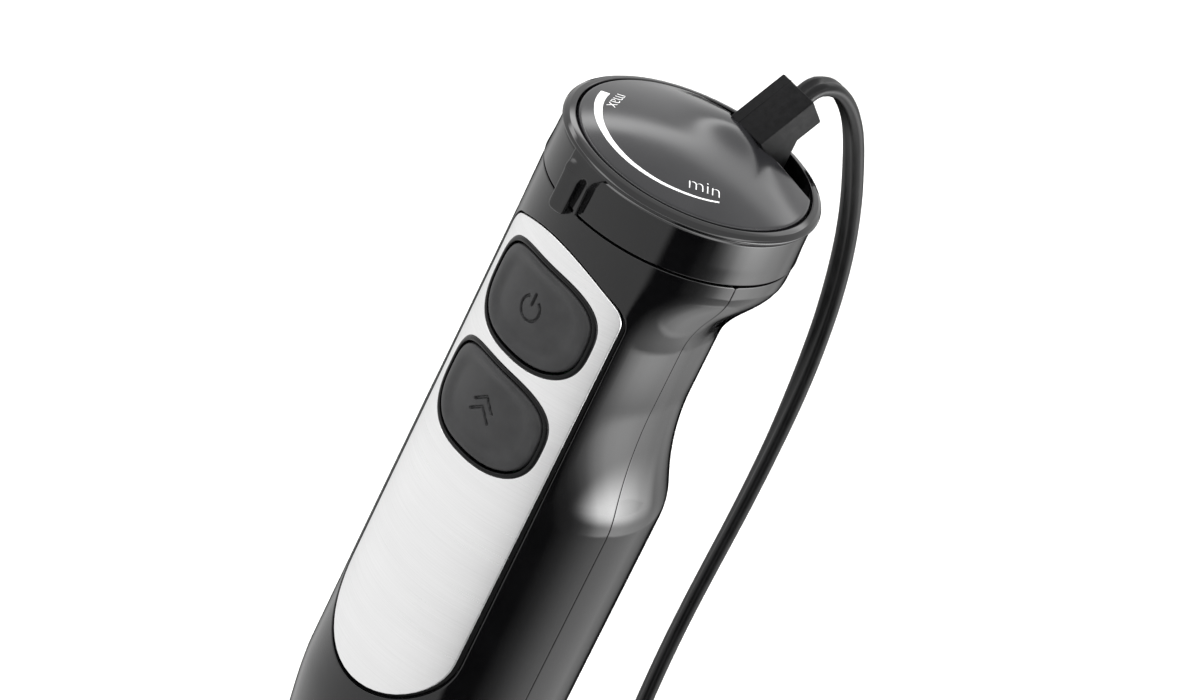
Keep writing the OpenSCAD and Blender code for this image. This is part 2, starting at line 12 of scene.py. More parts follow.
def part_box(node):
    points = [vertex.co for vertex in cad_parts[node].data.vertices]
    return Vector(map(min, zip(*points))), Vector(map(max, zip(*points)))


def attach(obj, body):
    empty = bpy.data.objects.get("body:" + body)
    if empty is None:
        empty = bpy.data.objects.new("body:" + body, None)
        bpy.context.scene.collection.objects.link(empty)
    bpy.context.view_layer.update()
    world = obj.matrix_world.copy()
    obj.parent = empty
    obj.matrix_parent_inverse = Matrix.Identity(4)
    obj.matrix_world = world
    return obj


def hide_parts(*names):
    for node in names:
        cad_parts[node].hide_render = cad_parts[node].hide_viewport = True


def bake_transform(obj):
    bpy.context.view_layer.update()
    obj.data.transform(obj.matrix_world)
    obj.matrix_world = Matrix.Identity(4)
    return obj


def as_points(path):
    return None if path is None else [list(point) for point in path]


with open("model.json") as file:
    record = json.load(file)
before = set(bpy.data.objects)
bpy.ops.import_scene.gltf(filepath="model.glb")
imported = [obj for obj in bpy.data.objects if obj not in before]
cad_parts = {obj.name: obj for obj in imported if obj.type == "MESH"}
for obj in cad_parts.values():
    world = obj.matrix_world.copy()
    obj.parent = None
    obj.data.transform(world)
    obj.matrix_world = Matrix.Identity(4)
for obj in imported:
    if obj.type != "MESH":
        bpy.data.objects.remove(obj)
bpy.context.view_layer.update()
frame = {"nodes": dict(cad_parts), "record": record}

mm = 0.001
scene = bpy.context.scene
scene.view_settings.view_transform = "Standard"
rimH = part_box("speed_ring")[1].z / mm - 2.4  # height of the ring's widest line
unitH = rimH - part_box("front_shell")[0].z / mm  # depth of the shells' lower end below it


view = {"azimuth": 36.55, "elevation": 28.33, "roll": 26.15, "distance": 1.666, "lens": 206.9,
        "aim": (-0.0024, 0.0, rimH * mm - 0.0598)}


def setCamera(view):
    az, el = math.radians(view["azimuth"]), math.radians(view["elevation"])
    back = Vector((math.sin(az) * math.cos(el), -math.cos(az) * math.cos(el), math.sin(el)))
    data = bpy.data.cameras.new("viewCamera")
    data.lens, data.sensor_width, data.clip_end = view["lens"], 36, 20
    camera = bpy.data.objects.new("viewCamera", data)
    scene.collection.objects.link(camera)
    turn = back.to_track_quat("Z", "Y") @ Matrix.Rotation(math.radians(view["roll"]), 3, "Z").to_quaternion()
    camera.matrix_world = Matrix.LocRotScale(Vector(view["aim"]) + back * view["distance"], turn, None)
    scene.camera = camera


setCamera(view)


def smooth(t):
    t = min(1.0, max(0.0, t))
    return t * t * (3 - 2 * t)


def ramp(a, b, v):
    return smooth((v - a) / (b - a))


def linear(code):
    channels = [int(code[i:i + 2], 16) / 255 for i in (1, 3, 5)]
    return tuple(c / 12.92 if c <= 0.04045 else ((c + 0.055) / 1.055) ** 2.4 for c in channels) + (1,)


def makePiece(name, points, faces, sharp=35):
    mesh = bpy.data.meshes.new(name)
    mesh.from_pydata([Vector(p) * mm for p in points], [], faces)
    work = bmesh.new()
    work.from_mesh(mesh)
    bmesh.ops.remove_doubles(work, verts=work.verts, dist=1e-6)
    bmesh.ops.recalc_face_normals(work, faces=work.faces)
    work.to_mesh(mesh)
    work.free()
    mesh.shade_smooth()
    mesh.set_sharp_from_angle(angle=math.radians(sharp))
    piece = bpy.data.objects.new(name, mesh)
    scene.collection.objects.link(piece)
    return piece


def dress(piece, body, slot, material, *stoodFor):
    piece.data.materials.clear()
    piece.data.materials.append(material)
    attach(piece, body)
    if stoodFor:
        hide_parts(*stoodFor)
    return piece


def loft(rings, closed=False, caps=True):
    # quads between rings of equal length; closed joins the last ring to the first
    n = len(rings[0])
    points = [p for ring in rings for p in ring]
    faces = []
    for i in range(len(rings) - (0 if closed else 1)):
        a, b = i * n, (i + 1) % len(rings) * n
        faces += [(a + k, a + (k + 1) % n, b + (k + 1) % n, b + k) for k in range(n)]
    if caps and not closed:
        last = (len(rings) - 1) * n
        faces += [tuple(range(n)), tuple(last + k for k in range(n))]
    return points, faces


def lathe(name, profile, segments=160, sharp=35):
    # profile is a closed loop of (radius, height) turned about the shaft's axis
    rings = []
    for i in range(segments):
        a = 2 * math.pi * i / segments
        rings.append([(r * math.sin(a), -r * math.cos(a), z) for r, z in profile])
    return makePiece(name, *loft(rings, closed=True), sharp=sharp)


def rounded(corners, steps=4):
    # closed outline from corners (a, b, radius), each turned with its own radius
    out = []
    for i, (a, b, radius) in enumerate(corners):
        p = Vector((a, b))
        before = Vector(corners[i - 1][:2]) - p
        after = Vector(corners[(i + 1) % len(corners)][:2]) - p
        half = before.angle(after) / 2
        if radius <= 0 or half > 1.5:
            out.append((a, b))
            continue
        cut = min(radius / math.tan(half), 0.48 * before.length, 0.48 * after.length)
        start, end = p + before.normalized() * cut, p + after.normalized() * cut
        centre = p + (before.normalized() + after.normalized()).normalized() * (cut / math.cos(half))
        v0, v1 = start - centre, end - centre
        turn = v0.angle_signed(v1)
        for k in range(steps + 1):
            spin = Matrix.Rotation(-turn * k / steps, 2)
            q = centre + spin @ v0
            out.append((q.x, q.y))
    return out


def resample(loop, pitch):
    # the same closed outline with even steps
    pts = np.array(loop + [loop[0]], float)
    run = np.r_[0, np.cumsum(np.hypot(*np.diff(pts, axis=0).T))]
    n = max(8, int(run[-1] / pitch))
    at = np.linspace(0, run[-1], n, endpoint=False)
    return list(zip(np.interp(at, run, pts[:, 0]), np.interp(at, run, pts[:, 1])))


def grown(loop, g):
    # outline moved outwards by g along its own normals
    pts = np.array(loop, float)
    along = np.roll(pts, -1, 0) - np.roll(pts, 1, 0)
    area = np.sum(pts[:, 0] * np.roll(pts[:, 1], -1) - np.roll(pts[:, 0], -1) * pts[:, 1])
    side = np.c_[along[:, 1], -along[:, 0]] / np.hypot(*along.T)[:, None] * (1 if area > 0 else -1)
    return [tuple(p) for p in pts + side * g]


def inside(points, loop):
    points, loop = np.asarray(points, float), np.asarray(loop, float)
    found = np.zeros(len(points), bool)
    x, y = points.T
    for (x0, y0), (x1, y1) in zip(loop, np.roll(loop, -1, 0)):
        crosses = (y0 > y) != (y1 > y)
        found ^= crosses & (x < (x1 - x0) * (y - y0) / ((y1 - y0) or 1e-12) + x0)
    return found


def sheet(name, outer, holes, place, thick, edge=0.3, pitch=1.5, fine=None, sharp=35, support=0.3):
    # a curved sheet with holes and rounded front edges; place(u, v, inset) puts a point of it in space
    # fine is (u, v, half width, half height, pitch) of a stretch with a closer mesh
    steps = 4
    flat, wires, rims = [], [], []
    for loop, sign in [(outer, -1)] + [(hole, 1) for hole in holes]:
        for extra in (0, support):
            line = grown(loop, sign * (edge + extra))
            start = len(flat)
            flat += line
            wires += [(start + i, start + (i + 1) % len(line)) for i in range(len(line))]
            if not extra:
                rims.append((start, loop, sign))
    keepIn, keepOut = grown(outer,
                            -edge - support - 0.35 * pitch), [grown(h, edge + support + 0.35 * pitch) for h in holes]
    us, vs = [p[0] for p in flat], [p[1] for p in flat]
    grid = [(u, v) for u in np.arange(min(us), max(us), pitch) for v in np.arange(min(vs), max(vs), pitch)]
    if fine:
        cu, cv, hu, hv, step = fine
        grid = [(u, v) for u, v in grid if abs(u - cu) > hu + step or abs(v - cv) > hv + step]
        grid += [(u, v) for u in np.arange(cu - hu, cu + hu, step) for v in np.arange(cv - hv, cv + hv, step)]
    grid = np.array(grid)
    keep = inside(grid, keepIn)
    for hole in keepOut:
        keep &= ~inside(grid, hole)
    flat += [tuple(p) for p in grid[keep]]
    cut = delaunay_2d_cdt([Vector(p) for p in flat], wires, [], 0, 1e-5)
    spots, tris, origin = [tuple(p) for p in cut[0]], cut[2], cut[3]
    place2 = {old: new for new, olds in enumerate(origin) for old in olds}
    middle = np.array([np.mean([spots[i] for i in t], axis=0) for t in tris])
    use = inside(middle, grown(outer, -edge))
    for hole in holes:
        use &= ~inside(middle, grown(hole, edge))
    tris = [t for t, yes in zip(tris, use) if yes]
    n = len(spots)
    points = [place(u, v, 0) for u, v in spots] + [place(u, v, thick) for u, v in spots]
    faces = [tuple(t) for t in tris] + [tuple(n + i for i in reversed(t)) for t in tris]
    for start, loop, sign in rims:
        rows = [[place2[start + i] for i in range(len(loop))]]
        turns = [(edge * (1 - math.sin(a)), edge * (1 - math.cos(a)))
                 for a in (math.pi / 2 * k / steps for k in range(1, steps + 1))] + [(0, thick)]
        for offset, inset in turns:
            line = grown(loop, sign * offset)
            rows.append(list(range(len(points), len(points) + len(line))))
            points += [place(u, v, inset) for u, v in line]
        rows.append([n + i for i in rows[0]])
        m = len(loop)
        faces += [(a[i], a[(i + 1) % m], b[(i + 1) % m], b[i]) for a, b in zip(rows, rows[1:]) for i in range(m)]
    used = sorted({i for f in faces for i in f})
    number = {old: new for new, old in enumerate(used)}
    return makePiece(name, [points[i] for i in used], [tuple(number[i] for i in f) for f in faces], sharp)


def block(name, outline, low, high, axes="yzx", bevel=0.5, sharp=35, segments=3):
    # an outline pushed from low to high along the third axis, with all its edges rounded
    work = bmesh.new()
    order = ["xyz".index(a) for a in axes]
    ends = []
    for level in (low, high):
        ring = []
        for a, b in outline:
            p = [0, 0, 0]
            p[order[0]], p[order[1]], p[order[2]] = a, b, level
            ring.append(work.verts.new(p))
        ends.append(ring)
    n = len(outline)
    work.faces.new(ends[0])
    work.faces.new(ends[1][::-1])
    for i in range(n):
        work.faces.new([ends[0][(i + 1) % n], ends[0][i], ends[1][i], ends[1][(i + 1) % n]])
    bmesh.ops.recalc_face_normals(work, faces=work.faces)
    bmesh.ops.bevel(work, geom=list(work.edges), offset=bevel, segments=segments, profile=0.5, affect="EDGES")
    points = [tuple(v.co) for v in work.verts]
    work.verts.index_update()
    faces = [tuple(v.index for v in f.verts) for f in work.faces]
    work.free()
    return makePiece(name, points, faces, sharp)


def joined(name, pieces):
    # several closed meshes kept together as one piece
    work = bmesh.new()
    for piece in pieces:
        work.from_mesh(piece.data)
        bpy.data.objects.remove(piece)
    mesh = bpy.data.meshes.new(name)
    work.to_mesh(mesh)
    work.free()
    mesh.set_sharp_from_angle(angle=math.radians(35))
    piece = bpy.data.objects.new(name, mesh)
    scene.collection.objects.link(piece)
    return piece


def addNode(tree, kind, settings=None, links=None):
    node = tree.nodes.new(kind)
    for name, value in (settings or {}).items():
        if isinstance(name, int) or name in node.inputs:
            node.inputs[name].default_value = value
        else:
            setattr(node, name, value)
    for name, source in (links or {}).items():
        tree.links.new(source, node.inputs[name])
    return node


def grainOf(tree, size, stretch=(1, 1, 1), detail=3):
    # noise whose features are size millimetres across, drawn out along the axes by stretch
    where = addNode(tree, "ShaderNodeTexCoord")
    scaled = addNode(tree, "ShaderNodeMapping", {"Scale": tuple(1 / (size * mm * s) for s in stretch)},
                     {"Vector": where.outputs["Object"]})
    return addNode(tree, "ShaderNodeTexNoise", {"Scale": 1.0, "Detail": detail}, {"Vector": scaled.outputs[0]})


def finishOf(name, look):
    # one surface: look holds its hex colours, roughness range, grain size in millimetres and bump height
    material = bpy.data.materials.new(name)
    material.use_nodes = True
    tree = material.node_tree
    tree.nodes.clear()
    constants = {"IOR": look.get("ior", 1.5), "Metallic": look.get("metallic", 0.0)}
    constants.update(look.get("sockets", {}))
    shader = addNode(tree, "ShaderNodeBsdfPrincipled", constants)
    if look.get("metallic"):
        shader.inputs["IOR"].default_value = 1.5  # the default
    out = addNode(tree, "ShaderNodeOutputMaterial", links={"Surface": shader.outputs[0]})
    patch = grainOf(tree, look.get("patch", 9), look.get("patchStretch", (1, 1, 1)), 4)
    colours = addNode(tree, "ShaderNodeValToRGB", links={"Fac": patch.outputs["Fac"]})
    colours.color_ramp.elements[0].position, colours.color_ramp.elements[1].position = 0.3, 0.7
    colours.color_ramp.elements[0].color = linear(look["dark"])
    colours.color_ramp.elements[1].color = linear(look["light"])
    grain = grainOf(tree, look["grain"], look.get("stretch", (1, 1, 1)))
    tint = colours.outputs[0]
    if look.get("streak"):  # the grain also shades the colour
        streaks = addNode(tree, "ShaderNodeMapRange", {1: 0.3, 2: 0.7, 3: 1 - look["streak"], 4: 1.0},
                          {0: grain.outputs["Fac"]})
        mix = addNode(tree, "ShaderNodeMix", {"data_type": "RGBA", "blend_type": "MULTIPLY", 0: 1.0},
                      {6: tint, 7: streaks.outputs[0]})
        tint = mix.outputs[2]
    tree.links.new(tint, shader.inputs["Base Color"])
    wear = addNode(tree, "ShaderNodeMapRange", {1: 0.25, 2: 0.75, 3: look["rough"][0], 4: look["rough"][1]},
                   {0: (grain if look.get("streak") else patch).outputs["Fac"]})
    tree.links.new(wear.outputs[0], shader.inputs["Roughness"])
    if look.get("bump"):
        bump = addNode(tree, "ShaderNodeBump", {"Strength": look.get("strength", 0.5), "Distance": look["bump"] * mm},
                       {"Height": grain.outputs["Fac"]})
        tree.links.new(bump.outputs[0], shader.inputs["Normal"])
    if look.get("brushed"):  # the streaks of light run across the grain
        along = addNode(tree, "ShaderNodeTangent", {"direction_type": "RADIAL", "axis": "Z"})
        tree.links.new(along.outputs[0], shader.inputs["Tangent"])
        shader.inputs["Anisotropic"].default_value = look["brushed"]
    return material


# ABS injection-moulded in a polished tool: deep black that mirrors the studio, with a faint ripple
glossBlack = finishOf("ABS moulded gloss black", {"dark": "#09090a", "light": "#0d0d0e", "rough": (0.04, 0.08),
                      "grain": 7, "patch": 14, "bump": 0.004, "strength": 0.25, "ior": 1.53})
# ABS in a satin tool for the parts that only show in gaps
satinBlack = finishOf("ABS moulded satin black", {"dark": "#161617", "light": "#1c1c1d", "rough": (0.35, 0.5),
                      "grain": 0.5, "patch": 8, "bump": 0.02, "ior": 1.53})
# the trim strip in the channel round the panel: the same ABS from a duller tool, with its colour darkened and its
# reflection damped as painted shade of the channel, so it reads almost black in its groove
trimShadeBlack = finishOf("ABS moulded trim", {"dark": "#060607", "light": "#09090a", "rough": (0.2, 0.3), "grain": 2,
                                          "patch": 10,
                     "bump": 0.004, "strength": 0.25, "ior": 1.53, "sockets": {"Specular IOR Level": 0.2}})
# clear-lacquered ABS dome over dark grey: softer mirror than the shells
domeGrey = finishOf("ABS lacquered graphite dome", {"dark": "#1d1d1f", "light": "#232325", "rough": (0.12, 0.17),
                    "grain": 6, "patch": 12, "bump": 0.004, "strength": 0.2, "ior": 1.5})
# white pad-printed ink, slightly chalky
padPrint = finishOf("Ink pad-printed white", {"dark": "#eeeeee", "light": "#fafafa", "rough": (0.4, 0.55), "grain": 0.3,
                    "patch": 2, "bump": 0.01, "ior": 1.5})
# stainless sheet, belt-brushed round the grip: grain about 0.05 mm, drawn 0.25 mm so that it shows
brushedPanel = finishOf("Stainless steel sheet belt-brushed", {"dark": "#eeeeee", "light": "#f5f5f5", "metallic": 1.0,
                        "rough": (0.26, 0.4), "grain": 1, "stretch": (30, 30, 0.25), "patch": 20,
                        "patchStretch": (3, 3, 0.6),
                        "bump": 0.005, "strength": 0.3, "streak": 0.08, "brushed": 0.5})
# the foot's drawn tube, satin-turned round its axis
turnedSteel = finishOf("Stainless steel tube satin-turned", {"dark": "#cfd0d0", "light": "#dadada", "metallic": 1.0,
                       "rough": (0.22, 0.34), "grain": 1, "stretch": (40, 40, 0.3), "patch": 25,
                       "patchStretch": (3, 3, 0.5),
                       "bump": 0.004, "strength": 0.25, "streak": 0.12, "brushed": 0.6})
# ground and polished blade stock
groundSteel = finishOf("Stainless steel ground",
                       {"dark": "#b9bbbd", "light": "#cdcfd0", "metallic": 1.0, "rough": (0.2, 0.32),
                       "grain": 0.4, "stretch": (1, 8, 1), "patch": 6, "bump": 0.006, "strength": 0.3, "streak": 0.12})
zincPlate = finishOf("Steel zinc-plated", {"dark": "#a8abb0", "light": "#c3c6ca", "metallic": 1.0, "rough": (0.25, 0.4),
                     "grain": 0.8, "patch": 4, "bump": 0.01, "streak": 0.15})
# silicone and soft-touch rubber: dull with a fine spark-eroded tooth, about 0.1 mm, drawn 0.3 mm
softRubber = finishOf("TPE soft-touch moulded rubber", {"dark": "#2b2b2c", "light": "#333334", "rough": (0.42, 0.5),
                                                        "grain": 0.3,
                      "patch": 5, "bump": 0.008, "strength": 0.3, "ior": 1.5, "sockets": {"Specular IOR Level": 0.34}})
gasketRubber = finishOf("Silicone moulded black", {"dark": "#070708", "light": "#0b0b0c", "rough": (0.22, 0.34),
                                                   "grain": 0.4,
                        "patch": 4, "bump": 0.006, "ior": 1.43, "sockets": {"Specular IOR Level": 0.28}})
bootPvc = finishOf("PVC moulded matte strain relief", {"dark": "#0a0a0b", "light": "#151516", "rough": (0.45, 0.62),
                                                       "grain": 0.45,
                   "patch": 1.6, "bump": 0.06, "strength": 0.6, "ior": 1.53, "sockets": {"Specular IOR Level": 0.1}})
cordPvc = finishOf("PVC extruded cord sheath", {"dark": "#0b0b0c", "light": "#121213", "rough": (0.26, 0.36),
                                                "grain": 1.2,
                   "patch": 7, "bump": 0.02, "strength": 0.25, "ior": 1.53, "sockets": {"Specular IOR Level": 0.2}})
tieFabric = finishOf("Nylon hook-and-loop tie", {"dark": "#19191b", "light": "#2b2b2e", "rough": (0.8, 0.95),
                                                 "grain": 0.5,
                     "patch": 1.2, "bump": 0.12, "strength": 0.8, "ior": 1.5, "sockets": {"Sheen Weight": 0.3}})
brassStamped = finishOf("Brass stamped", {"dark": "#b08a3c", "light": "#c9a255", "metallic": 1.0, "rough": (0.22, 0.38),
                        "grain": 0.6, "patch": 3, "bump": 0.006, "streak": 0.12})
nickelPins = finishOf("Brass nickel-plated pins",
                      {"dark": "#b5b1a6", "light": "#cfccc2", "metallic": 1.0, "rough": (0.15, 0.28),
                      "grain": 0.6, "stretch": (1, 12, 1), "patch": 5, "bump": 0.004, "streak": 0.1})
copperWire = finishOf("Copper wire enamelled", {"dark": "#7e3f22", "light": "#b5653b", "metallic": 1.0, "rough": (0.3,
                                                                                                                  0.45),
                      "grain": 0.5, "stretch": (1, 1, 0.6), "patch": 2, "bump": 0.1, "streak": 0.3})
coreSteel = finishOf("Silicon steel laminations",
                     {"dark": "#5a5d60", "light": "#7b7e82", "metallic": 1.0, "rough": (0.35, 0.5),
                     "grain": 1, "stretch": (20, 20, 0.5), "patch": 5, "bump": 0.03, "streak": 0.3})
boardLaminate = finishOf("FR-4 laminate solder-masked", {"dark": "#1c4a2a", "light": "#27603a", "rough": (0.3, 0.42),
                         "grain": 1, "patch": 4, "bump": 0.01, "ior": 1.55})
filmCapacitor = finishOf("Polyester film capacitor", {"dark": "#9c7f22", "light": "#c2a136", "rough": (0.25, 0.4),
                                                      "grain": 0.8,
                         "patch": 4, "bump": 0.01, "ior": 1.5})
ivoryNylon = finishOf("Nylon glass-filled moulded", {"dark": "#bdb69f", "light": "#cfc9b5", "rough": (0.5, 0.62),
                                                     "grain": 0.4,
                      "patch": 3, "bump": 0.03, "ior": 1.53})
ferrite = finishOf("Ferrite sintered", {"dark": "#232326", "light": "#303034", "rough": (0.6, 0.75), "grain": 0.3,
                                        "patch": 3,
                   "bump": 0.02, "ior": 1.6})
pressedCarbon = finishOf("Carbon pressed", {"dark": "#191919", "light": "#262626", "rough": (0.45, 0.6), "grain": 0.3,
                                            "patch": 2,
                         "bump": 0.02, "ior": 1.6})
fanNylon = finishOf("Nylon moulded fan", {"dark": "#1d232c", "light": "#28303b", "rough": (0.4, 0.5), "grain": 0.6,
                                          "patch": 4,
                    "bump": 0.01, "ior": 1.53})
slotFinish = {"gloss_black": glossBlack, "steel_sheet": brushedPanel, "bezel_trim": trimShadeBlack, "key_rubber": softRubber,
              "gasket_rubber": gasketRubber, "boot_rubber": bootPvc, "cord_pvc": cordPvc, "tie_strap": tieFabric,
              "black_abs": satinBlack, "board_green": boardLaminate, "board_mix": filmCapacitor,
              "zinc_steel": zincPlate,
              "cap_plastic": ivoryNylon, "magnet_ferrite": ferrite, "brass": brassStamped, "carbon": pressedCarbon,
              "core_steel": coreSteel, "copper": copperWire, "fan_nylon": fanNylon, "ground_steel": groundSteel,
              "foot_steel": turnedSteel, "blade_steel": groundSteel}
for part in frame["record"]["subparts"]:  # every CAD node gets its material, also those that a piece stands for
    node = frame["nodes"][part["node"]]
    node.data.materials.clear()
    node.data.materials.append(slotFinish[part["material_slot"]])
frame["nodes"]["plug_pins"].data.materials[0] = nickelPins
print("materials ready")


cordLook = {"width": 6.0, "thickness": 3.7, "lobe": 1.85, "coilCentre": (0, 116), "coilOuter": 38.55, "coilPitch": 3.72,
            "coilFrom": -4, "coilTo": 1145, "coilHeight": 3, "smoothing": 4, "easing": 24}
# points the cord follows: x, y, z and how far its width is turned about its run
cordRoute = [(0, 27.6, 405.6, 0), (0, 29, 407, 0), (0, 31, 409, 0), (0, 34, 410, 0), (0, 38, 410, 0), (0, 42, 408, 0),
             (0, 47, 404, -2), (0, 52, 399, -5), (0, 57, 392, -8), (0, 61, 384, -10), (0, 66, 376, -14),
             (0, 70, 367, -18), (0, 74, 358, -20), (0, 77, 348, -20), (0, 80, 338, -16), (0, 82, 327, -8),
             (0, 84, 315, 2), (0, 85, 303, 14), (0, 86, 290, 24), (0, 86, 276, 32), (0, 86, 262, 36),
             (0, 85, 247, 38), (0, 85, 232, 38), (1, 84, 216, 36), (3, 83, 200, 34), (5, 82, 184, 30),
             (8, 81, 168, 26), (11, 80, 152, 22), (14, 79, 136, 18), (18, 78, 120, 14), (21, 77, 104, 10),
             (24, 76, 89, 6), (27, 75, 75, 3), (30, 74, 61, 0), (32, 74, 48, -4), (34, 75, 36, -12),
             (36, 78, 26, -26), (37, 82, 17, -45), (38, 88, 10, -65), (39, 94, 6, -80), (39, 98, 5, -88)]
cordTail = [(0, 141, 6, 90), (-5, 143, 9, 80), (-10, 147, 10, 60), (-14, 152, 10, 35), (-17, 157, 8, 15),
            (-19, 162, 6, 5), (-20, 167, 6, 0), (-20, 171, 6, 0)]


def turnedWidths(route):
    # position and direction of the cord's width at each point of a route
    spots = [Vector(p[:3]) for p in route]
    out = []
    for i, p in enumerate(route):
        run = (spots[min(i + 1, len(spots) - 1)] - spots[max(i - 1, 0)]).normalized()
        across = (Vector((1, 0, 0)) - run * run.x).normalized()
        a = math.radians(p[3])
        out.append((spots[i], across * math.cos(a) + run.cross(across) * math.sin(a)))
    return out


def cordLine(look):
    line = turnedWidths(cordRoute)
    cx, cy = look["coilCentre"]
    for a in range(look["coilFrom"], look["coilTo"], 10):
        r = look["coilOuter"] - look["coilPitch"] * (a - look["coilFrom"]) / 360
        t = math.radians(a)
        line.append((Vector((cx + r * math.cos(t), cy + r * math.sin(t), look["coilHeight"])), Vector((0, 0, 1))))
    line += turnedWidths(cordTail)
    for i in range(1, len(line)):
        if line[i][1].dot(line[i - 1][1]) < 0:
            line[i] = (line[i][0], -line[i][1])
    fine = []
    for i in range(len(line) - 1):
        a, b, c, d = (line[min(max(i + k, 0), len(line) - 1)] for k in (-1, 0, 1, 2))
        for k in range(look["smoothing"]):
            t = k / look["smoothing"]
            weights = ((-t + 2 * t * t - t ** 3) / 2, (2 - 5 * t * t + 3 * t ** 3) / 2,
                       (t + 4 * t * t - 3 * t ** 3) / 2, (t ** 3 - t * t) / 2)
            fine.append(tuple(sum((w * q[j] for w, q in zip(weights, (a, b, c, d))), Vector()) for j in (0, 1)))
    hanging = (len(cordRoute) - 2) * look["smoothing"]
    for _ in range(look["easing"]):  # gravity draws the hanging run into one even curve
        fine[12:hanging] = [tuple((fine[i - 1][j] + 2 * fine[i][j] + fine[i + 1][j]) / 4 for j in (0, 1))
                            for i in range(12, hanging)]
    return fine + [line[-1]]


def makeCord(look):
    line = cordLine(look)
    offset = look["width"] / 2 - look["lobe"]
    edgeAngle = math.degrees(math.acos(-offset / look["lobe"]))
    lobe = [math.radians(edgeAngle * (2 * k / 9 - 1)) for k in range(9)]
    section = [(offset + look["lobe"] * math.cos(b), look["lobe"] * math.sin(b)) for b in lobe]
    section += [(-x, -y) for x, y in section]
    rings = []
    for i, (spot, width) in enumerate(line):
        run = (line[min(i + 1, len(line) - 1)][0] - line[max(i - 1, 0)][0]).normalized()
        across = (width - run * width.dot(run)).normalized()
        rings.append([spot + across * u + run.cross(across) * v for u, v in section])
    cord = makePiece("mainsCord", *loft(rings), sharp=50)
    cord.data.materials.append(cordPvc)
    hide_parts("cord", "cord_coil", "cord_tail")
    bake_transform(cord)
    return cord, [tuple(p * mm) for p, _ in line]


mainsCord, cordPath = makeCord(cordLook)
cordLength = sum((Vector(b) - Vector(a)).length for a, b in zip(cordPath, cordPath[1:]))
print(f"cord laid, {cordLength:.3f} m")

plugLook = {"at": (-20, 167, 6), "relief": 16, "length": 30, "halfWidth": 16.4, "halfHeight": 5.45}


def makePlug(look):
    # lofted from the strain relief to the flat face that the pins stand out of
    x0, y0, z0 = look["at"]
    stations = [(0, 3.4, 3.0), (0.4, 3.9, 3.4), (4, 4.1, 3.7), (4.2, 3.7, 3.3), (5.6, 3.7, 3.3), (5.8, 4.4, 3.9),
                (8, 4.6, 4.1),
                (8.2, 4.1, 3.6), (9.6, 4.2, 3.7), (9.8, 5.0, 4.4), (12, 5.6, 4.9), (15, 9.5, 5.3), (18, 13.6, 5.45),
                (21, 15.6, 5.45), (25, 16.3, 5.45), (28.6, 16.4, 5.45), (29.6, 16.1, 5.2), (30, 15.3, 4.6)]
    rings = []
    for y, w, h in stations:
        ring = []
        for k in range(40):
            t = 2 * math.pi * k / 40
            p = 2.6 if y > 13 else 2
            ring.append((x0 + w * math.copysign(abs(math.cos(t)) ** (2 / p), math.cos(t)), y0 + y,
                         z0 + h * math.copysign(abs(math.sin(t)) ** (2 / p), math.sin(t))))
        rings.append(ring)
    return dress(makePiece("mainsPlug", *loft(rings), sharp=40), "foot", "cord_pvc", cordPvc, "plug")


def makeTie():
    # strap over the coil's turns, closed on the floor side of its own turns
    cx, cy = cordLook["coilCentre"]
    outline = rounded([(24.3, 0.1, 0.4), (25.2, 0.1, 0.3), (25.2, 6.2, 0.8), (40.9, 6.2, 0.8), (40.9, 0.1, 0.3),
                       (41.6, 0.1, 0.4),
                       (41.6, 7.0, 1.2), (33, 6.95, 0), (24.3, 7.0, 1.2)], 4)
    strap = block("coilTie", outline, -4, 4, axes="xzy", bevel=0.18, segments=2)
    strap.data.transform(Matrix.Rotation(math.radians(200), 4, "Z"))
    strap.data.transform(Matrix.Translation((cx * mm, cy * mm, 0)))
    return dress(strap, "foot", "tie_strap", tieFabric, "coil_tie")


mainsPlug = makePlug(plugLook)
coilTie = makeTie()
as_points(cordPath)


gripLook = {"front": 33.3, "sideRelief": 1.6, "waist": 7.2, "taper": 3.3, "seam": 13.4, "partingAngle": 80, "wall": 2.3,
            "edge": 0.2, "pitch": 1.7}


def gripRadius(angle, depth):
    # angle in degrees from the front, depth below the ring's widest line
    turn = min(abs(angle), 360 - abs(angle))
    t = min(1.0, (turn - 44) / 56 if turn > 47 else max(0.0, turn - 41) ** 2 / 672)
    side = (t - 0.415 * t * t) / 0.585  # the thumb's flank leaves the front at once and then runs almost flat
    if angle < 0 or angle > 180:
        side = ramp(46, 100, turn)  # the other flank stays fuller
    u = min(1.0, max(0.0, (depth - 56) / 36))
    flare = 1.25 * u * u if u < 0.8 else 1 - 5 * (1 - u) ** 2  # it swells slowly and ends in a tight shoulder
    waist = gripLook["sideRelief"] * ramp(17, 30, depth) + gripLook["waist"] * ramp(17, 38, depth) * (1 - flare)
    return gripLook["front"] - waist * side - gripLook["taper"] * ramp(166, unitH, depth)


def onGrip(u, depth, inset):
    # u is the length round the grip at its front radius
    angle = math.degrees(u / gripLook["front"])
    r = gripRadius(angle, depth) - inset
    a = math.radians(angle)
    return (r * math.sin(a), -r * math.cos(a), rimH - depth)


def onFront(x, depth, inset):
    # x is measured straight across the front
    a = math.asin(x / gripLook["front"])
    r = gripLook["front"] - inset
    return (r * math.sin(a), -r * math.cos(a), rimH - depth)


def onPress(x, depth, inset):
    # as onFront, but its sides run straight in, the way the keys travel
    return (x, inset - math.sqrt(gripLook["front"] ** 2 - x * x), rimH - depth)


def wrapped(loop):
    # outline drawn straight across, laid round the grip
    return [(gripLook["front"] * math.asin(x / gripLook["front"]), depth) for x, depth in loop]


def arcOf(cx, cy, rx, ry, a0, a1, n):
    turns = [math.radians(a0 + (a1 - a0) * i / n) for i in range(n + 1)]
    return [(cx + rx * math.cos(t), cy + ry * math.sin(t)) for t in turns]


